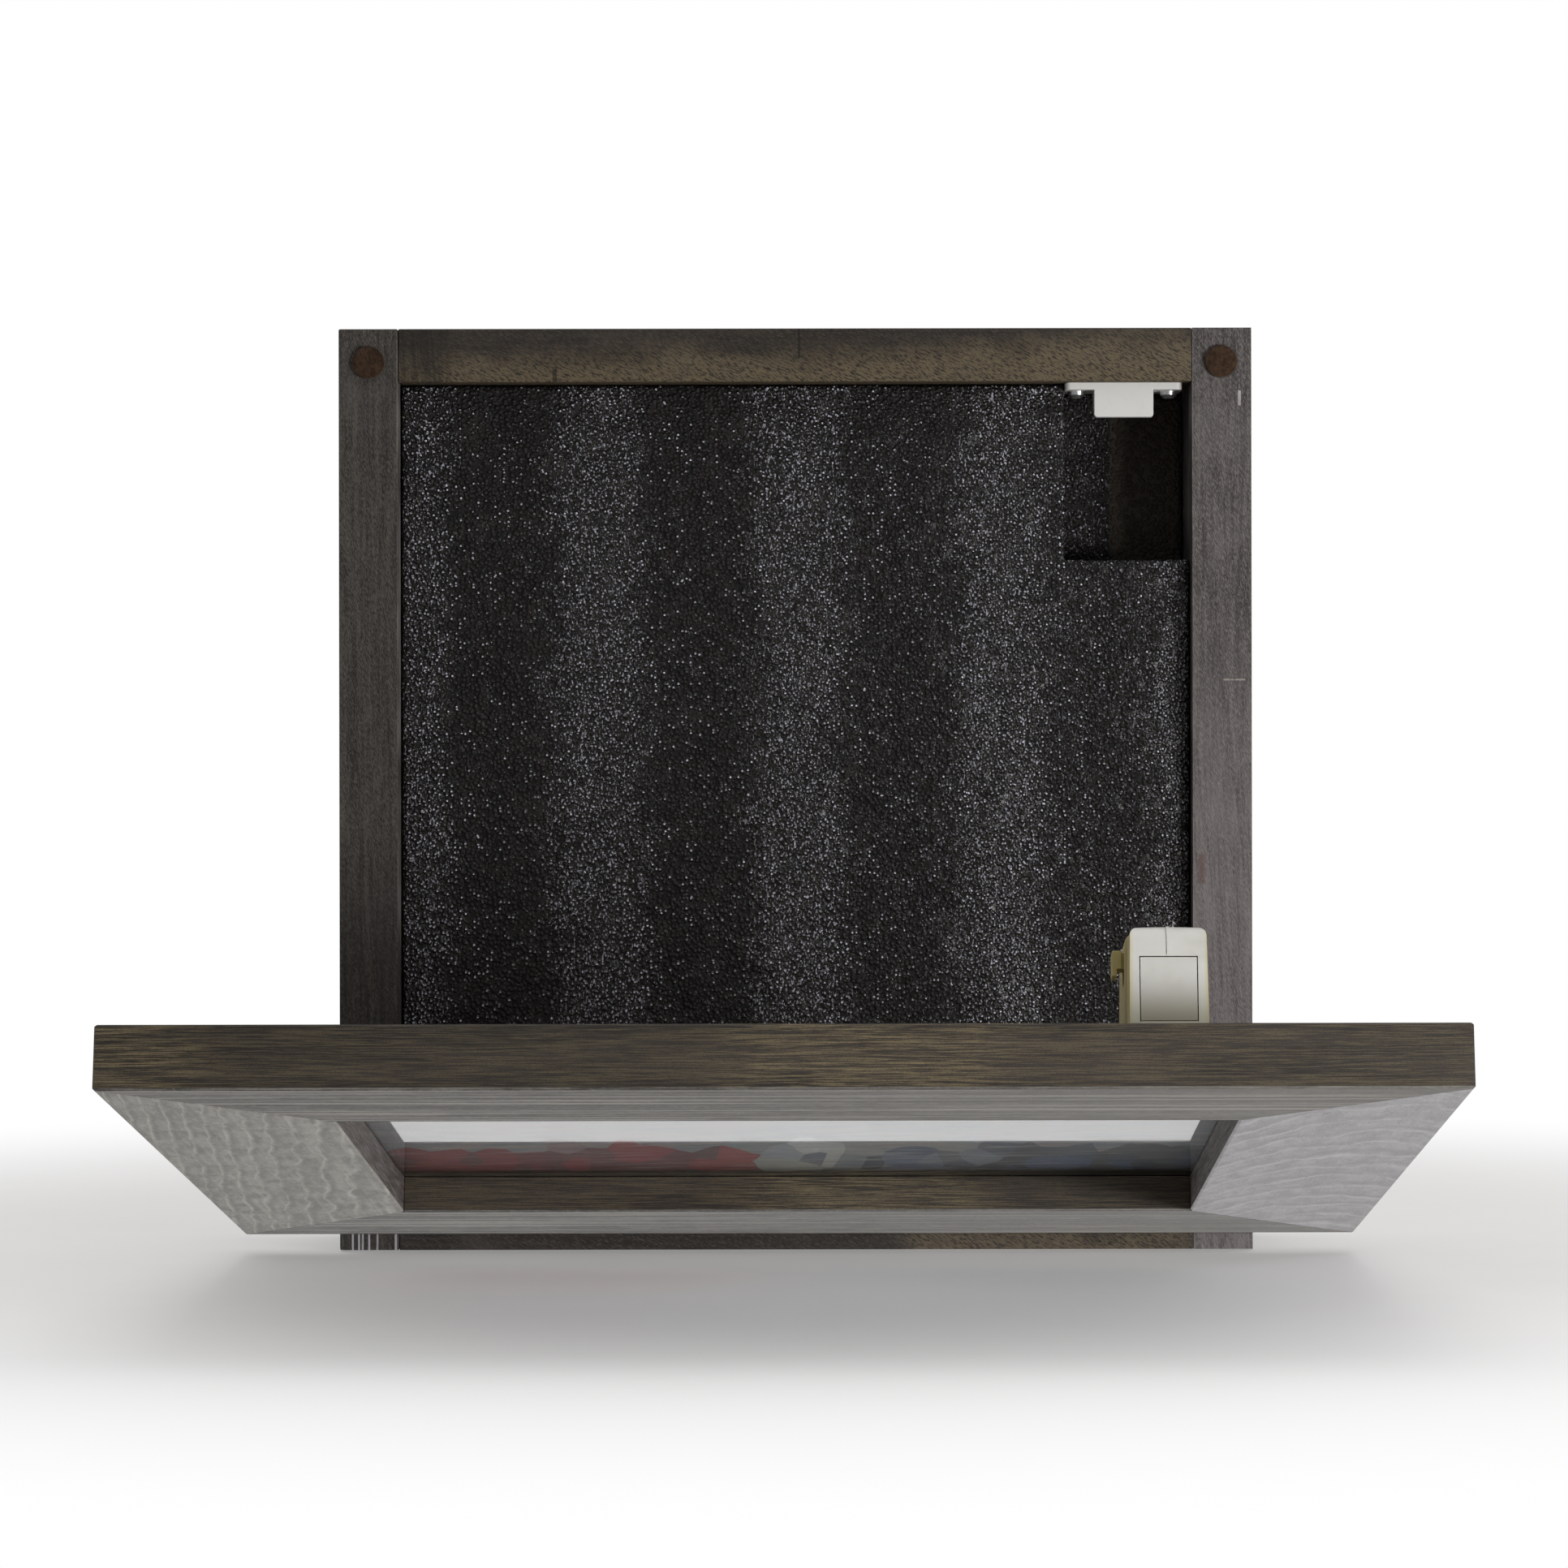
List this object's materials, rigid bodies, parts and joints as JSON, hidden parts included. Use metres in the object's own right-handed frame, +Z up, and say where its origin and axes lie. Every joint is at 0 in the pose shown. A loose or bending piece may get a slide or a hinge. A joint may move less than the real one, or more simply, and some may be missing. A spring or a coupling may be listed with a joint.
{
  "type": "shadow box",
  "caption": "Wall-hung wooden shadow box with a foam-lined case and a bottom-hinged picture-frame door of weathered wood that a concealed magnetic latch keeps shut; shown open.",
  "frame": {"origin": "centre of the back face that rests on the wall, midway across and midway up the case", "axes": "+X to the right of someone facing the box, +Y into the wall, +Z up; the box opens towards -Y"},
  "size_m": [0.392, 0.3993, 0.327],
  "materials": {
    "case_wood": "matte",
    "frame_wood": "matte",
    "plywood": "matte",
    "hardboard": "matte",
    "foam": "satin",
    "felt": "matte",
    "paper": "matte",
    "glass": "gloss",
    "white_plastic": "satin",
    "ivory_plastic": "satin",
    "olive_plastic": "satin",
    "zinc_steel": "satin",
    "brass": "satin",
    "magnet": "polished"
  },
  "bodies": {
    "case": {"side_board_left": "case_wood", "side_board_right": "case_wood", "top_board": "case_wood", "bottom_board": "case_wood", "back_panel": "plywood", "foam_front": "foam", "foam_back": "foam", "felt_bumper_left": "felt", "felt_bumper_right": "felt", "keyhole_plate_left": "zinc_steel", "keyhole_plate_right": "zinc_steel", "keyhole_screw_left_1": "zinc_steel", "keyhole_screw_left_2": "zinc_steel", "keyhole_screw_right_1": "zinc_steel", "keyhole_screw_right_2": "zinc_steel", "strike_plate": "white_plastic", "strike_screw_1": "zinc_steel", "strike_screw_2": "zinc_steel", "hinge_case_leaf_left": "brass", "hinge_case_leaf_right": "brass", "hinge_pin_left": "brass", "hinge_pin_right": "brass", "hinge_case_screw_left_1": "brass", "hinge_case_screw_left_2": "brass", "hinge_case_screw_right_1": "brass", "hinge_case_screw_right_2": "brass"},
    "door": {"door_rail_bottom": "frame_wood", "door_rail_top": "frame_wood", "door_stile_left": "frame_wood", "door_stile_right": "frame_wood", "glass_pane": "glass", "art_print": "paper", "backing_board": "hardboard", "glazing_point_1": "zinc_steel", "glazing_point_2": "zinc_steel", "glazing_point_3": "zinc_steel", "glazing_point_4": "zinc_steel", "glazing_point_5": "zinc_steel", "glazing_point_6": "zinc_steel", "mitre_nail_bottom_left": "zinc_steel", "mitre_nail_bottom_right": "zinc_steel", "mitre_nail_top_left": "zinc_steel", "mitre_nail_top_right": "zinc_steel", "hinge_door_leaf_left": "brass", "hinge_door_leaf_right": "brass", "hinge_door_screw_left_1": "brass", "hinge_door_screw_left_2": "brass", "hinge_door_screw_right_1": "brass", "hinge_door_screw_right_2": "brass", "latch_housing": "ivory_plastic", "latch_pin": "zinc_steel", "latch_spring": "zinc_steel", "latch_screw_1": "zinc_steel", "latch_screw_2": "zinc_steel"},
    "tongue": {"latch_tongue": "ivory_plastic", "latch_magnet": "magnet"},
    "switch": {"latch_switch": "olive_plastic"}
  },
  "joints": [
    {"name": "door_hinge", "type": "hinge", "parent": "case", "child": "door", "pos_m": [0, -0.06465, -0.1375], "axis": [1, 0, 0], "range_deg": [-77.6, 0.6]},
    {"name": "tongue_pivot", "type": "hinge", "parent": "door", "child": "tongue", "pos_m": [0.1155, -0.31636, -0.05502], "axis": [-1, 0, 0], "range_deg": [0, 24]},
    {"name": "switch_slide", "type": "slide", "parent": "door", "child": "switch", "axis": [0, -0.2147, -0.9767], "range_m": [0, 0.004]}
  ]
}
